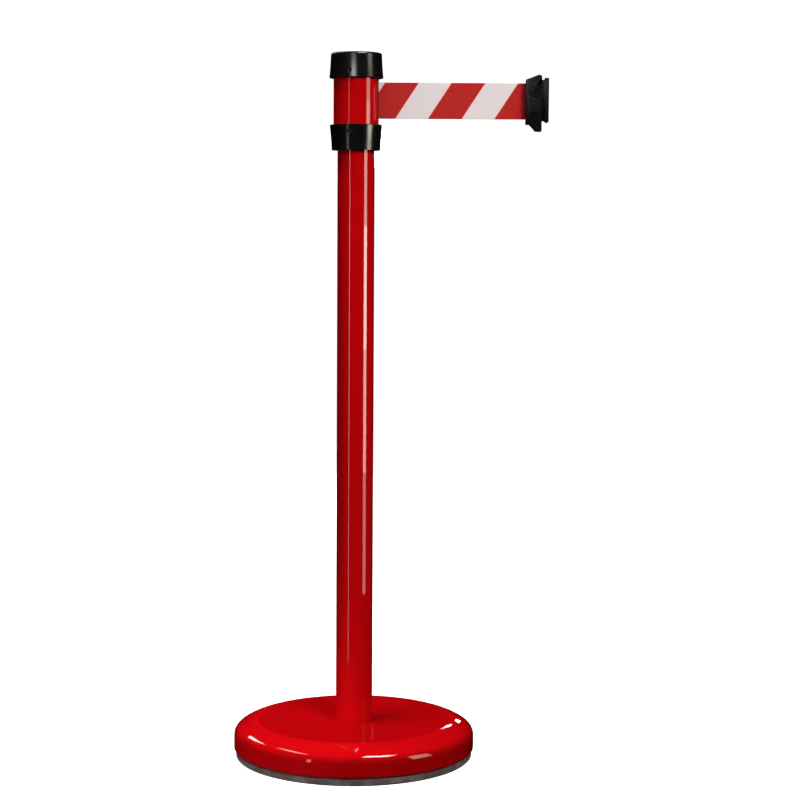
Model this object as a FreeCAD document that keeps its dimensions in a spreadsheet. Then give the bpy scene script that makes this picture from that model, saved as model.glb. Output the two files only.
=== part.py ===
import FreeCAD, Part
import math
import os

import Sketcher

# Retractable belt stanchion: a post on a round weighted base, with a belt cassette in its head.
# The origin is the middle of the base on the floor. +Z is up and the belt runs out along +X.
# Every length is in millimetres. Each sub-part is one labelled object of the document.

doc = FreeCAD.newDocument("BeltStanchion")

DRIVING_SIZES = {
    # base
    "tray_radius": 168.0,
    "tray_floor": 3.0,
    "tray_rim_top": 9.6,
    "weight_radius": 159.5,
    "weight_bottom": 3.2,
    "weight_top": 19.0,
    "boss_radius": 38.0,
    "boss_foot_radius": 60.0,
    "boss_top": 40.0,
    "bolt_well_radius": 16.0,
    "bolt_well_top": 19.5,
    "bolt_radius": 6.0,
    "bolt_head_bottom": 7.0,
    "bolt_head_height": 7.5,
    "bolt_head_corner": 10.4,
    "bolt_top": 66.0,
    "washer_radius": 15.0,
    "washer_thickness": 2.5,
    "spring_washer_radius": 10.6,
    "cover_radius": 170.8,
    "cover_bottom": 11.0,
    "cover_dish": 50.4,
    "cover_wall": 2.0,
    "cover_wall_top": 31.0,
    "cover_knuckle": 14.3,
    "cover_knuckle_angle": 56.0,
    "cover_slope": 54.7,
    "cover_slope_angle": 87.4,
    "cover_lower_edge": 3.0,
    "cover_hem": 6.0,
    "cover_gap": 0.3,
    "rib_inner": 62.0,
    "rib_outer": 130.0,
    "rib_thickness": 2.0,
    # post
    "post_radius": 26.0,
    "tube_wall": 1.5,
    "post_bottom": 40.2,
    "post_top": 862.0,
    "plug_top": 75.0,
    "fit_gap": 0.1,
    # head tube and its adapter
    "head_radius": 31.75,
    "head_bottom": 861.6,
    "head_top": 988.0,
    "spigot_bottom": 830.0,
    "adapter_top": 868.0,
    "slot_half_width": 10.0,
    "slot_bottom": 895.6,
    "slot_top": 956.4,
    # cap and collar, flared cups on the head tube
    "collar_bottom": 858.0,
    "collar_rim": 893.2,
    "collar_small_radius": 34.0,
    "collar_rim_radius": 36.9,
    "cap_rim": 957.4,
    "cap_top": 992.6,
    "cap_small_radius": 35.5,
    "cap_rim_radius": 37.6,
    "cap_bevel": 2.7,
    "flare_radius": 420.0,
    "cup_bore_radius": 32.0,
    "lip_wall": 2.1,
    "lip_depth": 5.6,
    "cup_floor": 2.2,
    "side_screw_head": 3.1,
    "side_screw_shank": 1.5,
    "side_screw_recess": 3.6,
    "side_screw_seat": 33.6,
    "side_screw_tip": 29.0,
    "cap_screw_height": 967.0,
    "collar_screw_height": 883.5,
    "top_ring_bottom": 963.0,
    "top_ring_top": 985.0,
    "top_ring_bore": 25.0,
    # belt cassette
    "plate_radius": 29.8,
    "plate_thickness": 3.0,
    "base_plate_bottom": 868.2,
    "top_plate_bottom": 958.6,
    "pillar_radius": 2.0,
    "pillar_circle": 27.7,
    "pin_radius": 1.5,
    "pin_x": 26.9,
    "pin_y": 1.95,
    "spindle_radius": 4.0,
    "spindle_groove": 3.4,
    "spindle_top": 968.0,
    "clip_ring_radius": 7.5,
    "clip_ring_thickness": 1.0,
    "thrust_radius": 9.0,
    "thrust_thickness": 1.2,
    # drum and spring barrel
    "flange_radius": 25.0,
    "flange_thickness": 2.6,
    "drum_bottom": 898.0,
    "drum_top": 956.6,
    "core_radius": 14.4,
    "core_wall": 2.0,
    "hub_radius": 8.6,
    "bush_radius": 6.0,
    "bush_length": 9.0,
    "running_gap": 0.06,
    "barrel_radius": 24.8,
    "barrel_wall": 1.3,
    "barrel_bottom": 875.0,
    "barrel_top": 897.8,
    "spring_inner_radius": 5.2,
    "spring_pitch": 1.5,
    "spring_strip": 0.5,
    "spring_width": 16.0,
    "spring_bottom": 878.0,
    "rivet_circle": 18.0,
    "rivet_radius": 1.6,
    # belt
    "belt_thickness": 0.4,
    "belt_bottom": 902.0,
    "belt_top": 952.0,
    "roll_radius": 20.8,
    "belt_end": 243.6,
    # belt end clip
    "body_left": 235.9,
    "neck_left": 257.3,
    "flange_left": 261.9,
    "clip_right": 266.8,
    "clip_bottom": 885.4,
    "clip_top": 963.6,
    "hook_top": 895.0,
    "body_shoulder": 957.0,
    "neck_bottom": 900.0,
    "neck_top": 956.4,
    "flange_bottom": 897.2,
    "flange_top": 959.2,
    "body_half_width": 13.0,
    "neck_half_width": 9.0,
    "clip_half_width": 15.5,
    "clip_hollow_radius": 32.3,
    "bar_x": 246.0,
    "bar_radius": 1.5,
    "grip_left": 240.2,
    "grip_right": 255.0,
    "grip_bottom": 912.2,
    "grip_pitch": 2.7,
    "grip_rib": 1.5,
    "grip_proud": 0.7,
    "clip_screw_x": 252.6,
    "clip_screw_radius": 1.2,
    "clip_screw_head": 2.4,
}

SIDE_SCREW_AZIMUTHS = (256, 346, 76, 166)
PILLAR_AZIMUTHS = (90, 180, 270)
RIVET_AZIMUTHS = (30, 150, 270)
CLIP_SCREW_HEIGHTS = (906.0, 954.0)
COVER_RIBS = 8
GRIP_RIBS = 14
SPRING_HALF_TURNS = 22

sheet = doc.addObject("Spreadsheet::Sheet", "Dims")
parts = []


class Size:
    """A length that carries both its value and the spreadsheet expression it comes from."""

    def __init__(self, value, text):
        self.value = value
        self.text = text

    def __add__(self, other):
        other = as_size(other)
        return Size(self.value + other.value, f"({self.text} + {other.text})")

    def __sub__(self, other):
        other = as_size(other)
        return Size(self.value - other.value, f"({self.text} - {other.text})")

    def __mul__(self, other):
        other = as_size(other)
        return Size(self.value * other.value, f"({self.text} * {other.text})")

    def __truediv__(self, other):
        other = as_size(other)
        return Size(self.value / other.value, f"({self.text} / {other.text})")

    def __rsub__(self, other):
        return as_size(other) - self

    def __neg__(self):
        return Size(-self.value, f"(0 - {self.text})")

    __radd__ = __add__
    __rmul__ = __mul__


def as_size(number):
    """A plain number as a Size; a Size is left as it is."""
    if isinstance(number, Size):
        return number
    return Size(float(number), f"{float(number):.6f}")


def root(size):
    """The square root of a Size."""
    return Size(math.sqrt(size.value), f"sqrt({size.text})")


def cosine(size):
    """The cosine of an angle in degrees."""
    return Size(math.cos(math.radians(size.value)), f"cos({size.text} * 1 deg)")


def sine(size):
    """The sine of an angle in degrees."""
    return Size(math.sin(math.radians(size.value)), f"sin({size.text} * 1 deg)")


class Sizes:
    """The driving sizes, one attribute for each cell of the spreadsheet."""

    def __init__(self, values):
        for row, (name, value) in enumerate(values.items(), start=1):
            sheet.set(f"A{row}", name)
            sheet.set(f"B{row}", str(value))
            sheet.setAlias(f"B{row}", name)
            setattr(self, name, Size(value, f"Dims.{name}"))


s = Sizes(DRIVING_SIZES)
doc.recompute()


# ---------------------------------------------------------------- sketches and bodies

def bind(item, property_name, size):
    """Bind one property of an object to the spreadsheet."""
    item.setExpression(property_name, as_size(size).text)


def new_body(label):
    """A PartDesign body that is one sub-part."""
    body = doc.addObject("PartDesign::Body", label)
    body.Label = label
    parts.append(body)
    return body


def new_sketch(body, name, role, offset=0.0):
    """A sketch on one of the body's own origin planes, moved along the plane's normal."""
    sketch = body.newObject("Sketcher::SketchObject", name)
    plane = next(item for item in body.Origin.OriginFeatures if item.Role == role)
    sketch.AttachmentSupport = [(plane, "")]
    sketch.MapMode = "FlatFace"
    bind(sketch, "AttachmentOffset.Base.z", offset)
    return sketch


def place_point(sketch, edge, end, across, along):
    """Fix one end of an edge at (across, along) in the sketch."""
    origin_point = (-1, 1)
    for kind, size, axis in (("DistanceX", across, -2), ("DistanceY", along, -1)):
        if size.value == 0:
            sketch.addConstraint(Sketcher.Constraint("PointOnObject", edge, end, axis))
            continue
        number = sketch.addConstraint(Sketcher.Constraint(kind, *origin_point, edge, end, size.value))
        sketch.setExpression(f"Constraints[{number}]", size.text)


def arc_between(first, last, radius, side):
    """The short arc from first to last; side is 1 for a centre on the left of that way, -1 for right."""
    chord = last - first
    half = chord.Length / 2
    left = FreeCAD.Vector(-chord.y, chord.x, 0).normalize()
    centre = (first + last) / 2 + left * side * math.sqrt(radius * radius - half * half)
    start, end = (first, last) if side > 0 else (last, first)
    start_angle = math.atan2(start.y - centre.y, start.x - centre.x)
    end_angle = math.atan2(end.y - centre.y, end.x - centre.x)
    if end_angle < start_angle:
        end_angle += 2 * math.pi
    circle = Part.Circle(centre, FreeCAD.Vector(0, 0, 1), radius)
    return Part.ArcOfCircle(circle, start_angle, end_angle)


def draw_outline(sketch, corners, arcs=None):
    """A closed outline through the corners; arcs gives (radius, side) for the edges that aren't straight."""
    arcs = arcs or {}
    corners = [(as_size(across), as_size(along)) for across, along in corners]
    points = [FreeCAD.Vector(across.value, along.value, 0) for across, along in corners]
    ends = []
    for index, point in enumerate(points):
        following = points[(index + 1) % len(points)]
        if index in arcs:
            radius, side = arcs[index]
            edge = sketch.addGeometry(arc_between(point, following, radius.value, side), False)
            number = sketch.addConstraint(Sketcher.Constraint("Radius", edge, radius.value))
            sketch.setExpression(f"Constraints[{number}]", radius.text)
            ends.append((edge, 1, 2) if side > 0 else (edge, 2, 1))
        else:
            edge = sketch.addGeometry(Part.LineSegment(point, following), False)
            ends.append((edge, 1, 2))
    for index, (edge, start, end) in enumerate(ends):
        next_edge, next_start, _ = ends[(index + 1) % len(ends)]
        sketch.addConstraint(Sketcher.Constraint("Coincident", edge, end, next_edge, next_start))
        place_point(sketch, edge, start, *corners[index])


def draw_circle(sketch, radius, across=0.0, along=0.0):
    """A circle of the given radius about (across, along)."""
    radius, across, along = as_size(radius), as_size(across), as_size(along)
    centre = FreeCAD.Vector(across.value, along.value, 0)
    edge = sketch.addGeometry(Part.Circle(centre, FreeCAD.Vector(0, 0, 1), radius.value), False)
    number = sketch.addConstraint(Sketcher.Constraint("Radius", edge, radius.value))
    sketch.setExpression(f"Constraints[{number}]", radius.text)
    place_point(sketch, edge, 3, across, along)


def turned(label, corners, arcs=None):
    """A body turned about the vertical axis from an outline of (radius, height) corners."""
    body = new_body(label)
    sketch = new_sketch(body, label + "_profile", "XZ_Plane")
    draw_outline(sketch, corners, arcs)
    turn = body.newObject("PartDesign::Revolution", label + "_turn")
    turn.Profile = sketch
    turn.ReferenceAxis = (sketch, ["V_Axis"])
    turn.Angle = 360
    return body


def ring(label, outer, inner, low, high):
    """A flat ring or a straight tube between two heights."""
    body = new_body(label)
    sketch = new_sketch(body, label + "_section", "XY_Plane", low)
    draw_circle(sketch, outer)
    draw_circle(sketch, inner)
    pad = body.newObject("PartDesign::Pad", label + "_pad")
    pad.Profile = sketch
    bind(pad, "Length", as_size(high) - low)
    return body


def volume_of(body):
    """The body's volume once everything is worked out."""
    doc.recompute()
    return body.Shape.Volume


def pocket(body, sketch, depth, reversed_way=False):
    """Cut a sketch's outline out of its body, and make sure that it really cut something."""
    before = volume_of(body)
    cut_feature = body.newObject("PartDesign::Pocket", sketch.Name + "_cut")
    cut_feature.Profile = sketch
    bind(cut_feature, "Length", depth)
    cut_feature.Reversed = reversed_way
    if volume_of(body) >= before:
        raise RuntimeError(f"{cut_feature.Name} cuts nothing")
    return cut_feature


# ---------------------------------------------------------------- primitives and booleans

def cylinder(name, radius, low, high, across=0.0, along=0.0):
    """An upright cylinder between two heights."""
    item = doc.addObject("Part::Cylinder", name)
    bind(item, "Radius", radius)
    bind(item, "Height", as_size(high) - low)
    for axis, size in (("x", across), ("y", along), ("z", low)):
        bind(item, f"Placement.Base.{axis}", size)
    return item


def block(name, low_corner, high_corner):
    """A box between two opposite corners."""
    item = doc.addObject("Part::Box", name)
    pairs = zip(("Length", "Width", "Height"), ("x", "y", "z"), low_corner, high_corner)
    for side, axis, low, high in pairs:
        bind(item, side, as_size(high) - low)
        bind(item, f"Placement.Base.{axis}", low)
    return item


def cut(name, base, tool):
    """Base with the tool taken away."""
    item = doc.addObject("Part::Cut", name)
    item.Base = base
    item.Tool = tool
    return item


def fuse(name, pieces):
    """Several shapes joined into one."""
    item = doc.addObject("Part::MultiFuse", name)
    item.Shapes = pieces
    return item


def common(name, pieces):
    """What several shapes share."""
    item = doc.addObject("Part::MultiCommon", name)
    item.Shapes = pieces
    return item


def group(label, pieces):
    """Identical pieces that share one node."""
    item = doc.addObject("Part::Compound", label)
    item.Links = pieces
    return sub_part(label, item)


def sub_part(label, item):
    """Give a finished shape its node name."""
    item.Label = label
    parts.append(item)
    return item


def screw(name, head_radius, head_height, shank_radius, length):
    """A pan-head screw along its own -Z, its seat at the origin, with a cross recess in the head."""
    recess_width = 0.9
    recess_depth = 1.2
    shank = cylinder(name + "_shank", shank_radius, -as_size(length), 0.0)
    head = cylinder(name + "_head", head_radius, 0.0, head_height)
    reach = as_size(head_radius) * 0.62
    floor = as_size(head_height) - recess_depth
    arms = []
    for number, (half_x, half_y) in enumerate(((reach, recess_width / 2), (recess_width / 2, reach))):
        low = (-as_size(half_x), -as_size(half_y), floor)
        high = (as_size(half_x), as_size(half_y), as_size(head_height) + 1)
        arms.append(block(f"{name}_arm_{number}", low, high))
    whole = fuse(name + "_blank", [shank, head])
    cross = fuse(name + "_cross", arms)
    return cut(name, whole, cross)


# ---------------------------------------------------------------- base

def make_floor_tray():
    """Rubber tray that the weight stands in; its rim shows below the cover."""
    edge = 2.0
    wall_inner = s.weight_radius + 0.5
    turned("floor_tray", [
        (0, 0),
        (s.tray_radius - edge, 0),
        (s.tray_radius, edge),
        (s.tray_radius, s.tray_rim_top - 1),
        (s.tray_radius - 1, s.tray_rim_top),
        (wall_inner, s.tray_rim_top),
        (wall_inner, s.tray_floor),
        (0, s.tray_floor),
    ])


def make_base_weight():
    """Cast iron disc with a coned boss; the tie bolt's head sits in the well below the boss."""
    chamfer = 3.0
    bolt_hole = s.bolt_radius + 0.6
    turned("base_weight", [
        (bolt_hole, s.bolt_well_top),
        (s.bolt_well_radius, s.bolt_well_top),
        (s.bolt_well_radius, s.weight_bottom),
        (s.weight_radius, s.weight_bottom),
        (s.weight_radius, s.weight_top - chamfer),
        (s.weight_radius - chamfer, s.weight_top),
        (s.boss_foot_radius, s.weight_top),
        (s.boss_radius, s.boss_top),
        (bolt_hole, s.boss_top),
    ])


def cover_corners(depth):
    """Where the cover's knuckle and slope end, at a depth under the outer skin, as (radius, height)."""
    knuckle_cos, knuckle_sin = cosine(s.cover_knuckle_angle), sine(s.cover_knuckle_angle)
    slope_cos, slope_sin = cosine(s.cover_slope_angle), sine(s.cover_slope_angle)
    centre = s.cover_radius - s.cover_knuckle
    reach = s.cover_knuckle - depth
    knuckle_end = (centre + reach * knuckle_cos, s.cover_wall_top + reach * knuckle_sin)
    back = s.cover_knuckle - s.cover_slope
    slope_centre = (centre + back * knuckle_cos, s.cover_wall_top + back * knuckle_sin)
    reach = s.cover_slope - depth
    slope_end = (slope_centre[0] + reach * slope_cos, slope_centre[1] + reach * slope_sin)
    return knuckle_end, slope_end


def crown_height(radius, depth):
    """Height of the dished crown at a radius, at a depth under the outer skin."""
    _, (crease_radius, crease_height) = cover_corners(as_size(0))
    hole = s.post_radius + s.cover_gap
    share = (as_size(radius) - hole) / (crease_radius - hole)
    return s.cover_dish + (crease_height - s.cover_dish) * share - depth


def make_base_cover():
    """Glossy domed cover with a rolled lower hem, carried by radial ribs that stand on the weight."""
    hole = s.post_radius + s.cover_gap
    outer_knuckle, outer_crease = cover_corners(as_size(0))
    inner_knuckle, inner_crease = cover_corners(s.cover_wall)
    inner_side = s.cover_radius - s.cover_wall
    corners = [
        (s.cover_radius - s.cover_hem, s.cover_bottom),
        (s.cover_radius - s.cover_lower_edge, s.cover_bottom),
        (s.cover_radius, s.cover_bottom + s.cover_lower_edge),
        (s.cover_radius, s.cover_wall_top),
        outer_knuckle,
        outer_crease,
        (hole, crown_height(hole, 0)),
        (hole, crown_height(hole, s.cover_wall)),
        inner_crease,
        inner_knuckle,
        (inner_side, s.cover_wall_top),
        (inner_side, s.cover_bottom + s.cover_wall),
        (s.cover_radius - s.cover_hem, s.cover_bottom + s.cover_wall),
    ]
    arcs = {
        1: (s.cover_lower_edge, 1),
        3: (s.cover_knuckle, 1),
        4: (s.cover_slope, 1),
        8: (s.cover_slope - s.cover_wall, -1),
        9: (s.cover_knuckle - s.cover_wall, -1),
    }
    body = turned("base_cover", corners, arcs)
    before = volume_of(body)
    sketch = new_sketch(body, "cover_rib_outline", "XZ_Plane")
    foot = s.weight_top + 0.2
    half_wall = s.cover_wall / 2
    draw_outline(sketch, [
        (s.rib_inner, foot),
        (s.rib_outer, foot),
        (s.rib_outer, crown_height(s.rib_outer, half_wall)),
        (s.rib_inner, crown_height(s.rib_inner, half_wall)),
    ])
    rib = body.newObject("PartDesign::Pad", "cover_rib")
    rib.Profile = sketch
    bind(rib, "Length", s.rib_thickness)
    rib.Midplane = True
    doc.recompute()
    ribs = body.newObject("PartDesign::PolarPattern", "cover_ribs")
    ribs.Originals = [rib]
    ribs.Axis = (sketch, ["V_Axis"])
    ribs.Angle = 360
    ribs.Occurrences = COVER_RIBS
    body.Tip = ribs
    if volume_of(body) <= before:
        raise RuntimeError("the cover's ribs are missing")


def make_tie_bolt():
    """Hexagon bolt that pulls the post down onto the weight, with its two washers."""
    head = doc.addObject("Part::Prism", "tie_bolt_head")
    head.Polygon = 6
    bind(head, "Circumradius", s.bolt_head_corner)
    bind(head, "Height", s.bolt_head_height)
    bind(head, "Placement.Base.z", s.bolt_head_bottom)
    head_top = s.bolt_head_bottom + s.bolt_head_height
    shank = cylinder("tie_bolt_shank", s.bolt_radius, head_top, s.bolt_top)
    sub_part("tie_bolt", fuse("tie_bolt_whole", [head, shank]))
    inner = s.bolt_radius + 0.4
    split_top = head_top + s.washer_thickness
    outside = cylinder("split_washer_outside", s.spring_washer_radius, head_top, split_top)
    inside = cylinder("split_washer_inside", inner, head_top - 1, split_top + 1)
    gap = block("split_washer_gap", (0, -1, head_top - 1), (s.spring_washer_radius + 1, 1, split_top + 1))
    hole_and_gap = fuse("split_washer_hole", [inside, gap])
    sub_part("tie_spring_washer", cut("split_washer", outside, hole_and_gap))
    ring("tie_washer", s.washer_radius, inner, split_top, split_top + s.washer_thickness)


def make_post():
    """Post tube, its threaded foot plug, and the adapter between post and head."""
    post_bore = s.post_radius - s.tube_wall
    ring("post_tube", s.post_radius, post_bore, s.post_bottom, s.post_top)
    ring("foot_plug", post_bore - s.fit_gap, s.bolt_radius + s.fit_gap, s.post_bottom, s.plug_top)
    head_bore = s.head_radius - s.tube_wall
    lip = 2.2
    turned("post_adapter", [
        (s.spindle_radius + 4, s.spigot_bottom),
        (post_bore - s.fit_gap - 1, s.spigot_bottom),
        (post_bore - s.fit_gap, s.spigot_bottom + 4),
        (post_bore - s.fit_gap, s.post_top),
        (head_bore - s.fit_gap, s.post_top),
        (head_bore - s.fit_gap, s.adapter_top),
        (s.spindle_radius + 4 + lip, s.adapter_top),
        (s.spindle_radius + 4, s.adapter_top - lip),
    ])


# ---------------------------------------------------------------- head

def outward(azimuth):
    """The rotation that turns +Z to a level direction at an azimuth in degrees."""
    angle = math.radians(azimuth)
    return FreeCAD.Rotation(FreeCAD.Vector(0, 0, 1), FreeCAD.Vector(math.cos(angle), math.sin(angle), 0))


def radial_cylinders(name, radius, inner, outer, height):
    """Level cylinders at the side screws' azimuths, for holes and recesses."""
    cylinders = []
    for azimuth in SIDE_SCREW_AZIMUTHS:
        item = doc.addObject("Part::Cylinder", f"{name}_{azimuth}")
        bind(item, "Radius", radius)
        bind(item, "Height", as_size(outer) - inner)
        item.Placement = FreeCAD.Placement(FreeCAD.Vector(), outward(azimuth))
        bind_radial(item, inner, azimuth, height)
        cylinders.append(item)
    return cylinders


def bind_radial(item, radius, azimuth, height):
    """Bind an object's place to a radius, an azimuth and a height."""
    radius = as_size(radius)
    item.setExpression("Placement.Base.x", f"{radius.text} * cos({azimuth} deg)")
    item.setExpression("Placement.Base.y", f"{radius.text} * sin({azimuth} deg)")
    bind(item, "Placement.Base.z", height)


def side_screws(label, height):
    """The four screws that hold a flared cup on the head tube."""
    screws = []
    head_height = 2.0
    length = s.side_screw_seat - s.side_screw_tip
    for azimuth in SIDE_SCREW_AZIMUTHS:
        name = f"{label}_{azimuth}"
        item = screw(name, s.side_screw_head, head_height, s.side_screw_shank, length)
        item.Placement = FreeCAD.Placement(FreeCAD.Vector(), outward(azimuth))
        bind_radial(item, s.side_screw_seat, azimuth, height)
        screws.append(item)
    group(label, screws)


def drilled(label, base, screw_height):
    """A flared cup with its screw recesses and screw holes."""
    outside = s.cap_rim_radius + 2
    inside = s.cup_bore_radius - 3
    hole = s.side_screw_shank + s.fit_gap
    recesses = radial_cylinders(
        label + "_recess", s.side_screw_recess, s.side_screw_seat, outside, screw_height
    )
    holes = radial_cylinders(label + "_hole", hole, inside, s.side_screw_seat + 1, screw_height)
    tool = fuse(label + "_drills", recesses + holes)
    sub_part(label, cut(label + "_drilled", base, tool))


def profile_shape(name, corners, arcs=None):
    """A turned shape that isn't a node yet, because holes are drilled in it afterwards."""
    body = turned(name, corners, arcs)
    parts.remove(body)
    return body


def make_collar():
    """Lower flared cup: its rim stands off the head tube, and a neighbour's clip hooks behind it."""
    bevel = 0.8
    groove_floor = s.collar_rim - s.lip_depth
    lip_inner = s.collar_rim_radius - s.lip_wall
    body = profile_shape("collar_blank", [
        (s.post_radius + s.cover_gap, s.collar_bottom),
        (s.collar_small_radius, s.collar_bottom),
        (s.collar_rim_radius, s.collar_rim - bevel),
        (s.collar_rim_radius - bevel, s.collar_rim),
        (lip_inner, s.collar_rim),
        (lip_inner, groove_floor),
        (s.cup_bore_radius, groove_floor),
        (s.cup_bore_radius, s.collar_bottom + s.cup_floor),
        (s.post_radius + s.cover_gap, s.collar_bottom + s.cup_floor),
    ], {1: (s.flare_radius, -1)})
    drilled("lower_collar", body, s.collar_screw_height)
    side_screws("collar_screws", s.collar_screw_height)


def make_cap():
    """Upper flared cup with a closed top."""
    bevel = 0.8
    groove_top = s.cap_rim + s.lip_depth
    lip_inner = s.cap_rim_radius - s.lip_wall
    body = profile_shape("cap_blank", [
        (0, s.cap_top - s.cup_floor),
        (s.cup_bore_radius, s.cap_top - s.cup_floor),
        (s.cup_bore_radius, groove_top),
        (lip_inner, groove_top),
        (lip_inner, s.cap_rim),
        (s.cap_rim_radius - bevel, s.cap_rim),
        (s.cap_rim_radius, s.cap_rim + bevel),
        (s.cap_small_radius, s.cap_top - s.cap_bevel),
        (s.cap_small_radius - s.cap_bevel, s.cap_top - 0.4),
        (0, s.cap_top),
    ], {6: (s.flare_radius, -1), 7: (s.cap_bevel * 1.15, 1)})
    drilled("head_cap", body, s.cap_screw_height)
    side_screws("cap_screws", s.cap_screw_height)


def make_head_tube():
    """Head tube with the belt slot at +X and the holes for the cups' screws."""
    bore = s.head_radius - s.tube_wall
    outside = cylinder("head_outside", s.head_radius, s.head_bottom, s.head_top)
    inside = cylinder("head_inside", bore, s.head_bottom - 1, s.head_top + 1)
    slot = block("head_slot", (20, -s.slot_half_width, s.slot_bottom), (40, s.slot_half_width, s.slot_top))
    hole = s.side_screw_shank + s.fit_gap
    outer = s.head_radius + 1
    low_holes = radial_cylinders("head_hole_low", hole, bore - 1, outer, s.collar_screw_height)
    high_holes = radial_cylinders("head_hole_high", hole, bore - 1, outer, s.cap_screw_height)
    tool = fuse("head_cuts", [inside, slot] + low_holes + high_holes)
    sub_part("head_tube", cut("head_tube_whole", outside, tool))


def make_slot_liner():
    """Low-friction liner of the belt slot: a lip in the slot and a wider flange behind the tube wall."""
    flange_inner = 28.9
    flange_outer = 30.0
    lip_outer = 31.3
    flange_half_width = 13.0
    flange_reach = 1.3
    slit_half_width = 1.0
    slit_margin = 0.8
    lip_gap = 0.2
    pieces = []
    for name, outer, half_width, reach in (
        ("liner_lip", lip_outer, s.slot_half_width - lip_gap, -lip_gap),
        ("liner_flange", flange_outer, as_size(flange_half_width), flange_reach),
    ):
        low = s.slot_bottom - reach
        high = s.slot_top + reach
        disc = cylinder(name + "_disc", outer, low, high)
        half = block(name + "_block", (20, -half_width, low), (40, half_width, high))
        pieces.append(common(name, [disc, half]))
    solid = fuse("liner_solid", pieces)
    bore = cylinder("liner_bore", flange_inner, s.slot_bottom - 3, s.slot_top + 3)
    slit_low = (20, -slit_half_width, s.belt_bottom - slit_margin)
    slit_high = (40, slit_half_width, s.belt_top + slit_margin)
    tool = fuse("liner_cuts", [bore, block("liner_slit", slit_low, slit_high)])
    sub_part("slot_liner", cut("liner_whole", solid, tool))


def make_top_ring():
    """Plastic ring inside the head tube that the cap's screws bite into."""
    outer = s.head_radius - s.tube_wall - s.fit_gap
    outside = cylinder("top_ring_outside", outer, s.top_ring_bottom, s.top_ring_top)
    bore = cylinder("top_ring_hole", s.top_ring_bore, s.top_ring_bottom - 1, s.top_ring_top + 1)
    hole = s.side_screw_shank + s.fit_gap
    inner = s.side_screw_tip - 1
    holes = radial_cylinders("top_ring_pilot", hole, inner, s.head_radius, s.cap_screw_height)
    sub_part("top_ring", cut("top_ring_whole", outside, fuse("top_ring_cuts", [bore] + holes)))


# ---------------------------------------------------------------- belt cassette

def on_circle(radius, azimuth):
    """A point on a circle about the vertical axis, as sizes."""
    angle = math.radians(azimuth)
    return radius * round(math.cos(angle), 6), radius * round(math.sin(angle), 6)


def pin_places():
    """The two guide pins, one on each side of the belt."""
    return [(s.pin_x, -s.pin_y), (s.pin_x, s.pin_y)]


def make_cassette_plates():
    """Round base and top plates of the cassette, with holes for spindle, pillars and guide pins."""
    hole_radius = s.pillar_radius * 0.6 + s.fit_gap
    plates = (("cassette_base_plate", s.base_plate_bottom), ("cassette_top_plate", s.top_plate_bottom))
    for label, low in plates:
        body = ring(label, s.plate_radius, s.spindle_radius + s.running_gap, low, low + s.plate_thickness)
        sketch = new_sketch(body, label + "_holes", "XY_Plane", low + s.plate_thickness)
        for azimuth in PILLAR_AZIMUTHS:
            draw_circle(sketch, hole_radius, *on_circle(s.pillar_circle, azimuth))
        for place in pin_places():
            draw_circle(sketch, s.pin_radius + s.fit_gap, *place)
        pocket(body, sketch, s.plate_thickness)


def make_pillars():
    """Spacer pillars between the plates, and the screws that pass through both plates into them."""
    low = s.base_plate_bottom + s.plate_thickness
    high = s.top_plate_bottom
    core = s.pillar_radius * 0.6
    bore_radius = core + s.fit_gap
    head_height = 1.4
    length = 20.0
    pillars = []
    screws = []
    for azimuth in PILLAR_AZIMUTHS:
        place = on_circle(s.pillar_circle, azimuth)
        outside = cylinder(f"pillar_outside_{azimuth}", s.pillar_radius, low, high, *place)
        bore = cylinder(f"pillar_bore_{azimuth}", bore_radius, low - 1, high + 1, *place)
        pillars.append(cut(f"pillar_{azimuth}", outside, bore))
        across, along = place
        item = screw(f"pillar_screw_{azimuth}", s.pillar_radius, head_height, core, length)
        for axis, size in (("x", across), ("y", along), ("z", s.top_plate_bottom + s.plate_thickness)):
            bind(item, f"Placement.Base.{axis}", size)
        screws.append(item)
    group("cassette_pillars", pillars)
    group("pillar_screws", screws)
    pins = []
    for number, (across, along) in enumerate(pin_places()):
        high = s.top_plate_bottom + s.plate_thickness
        pins.append(cylinder(f"guide_pin_{number}", s.pin_radius, s.base_plate_bottom, high, across, along))
    group("guide_pins", pins)


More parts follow.
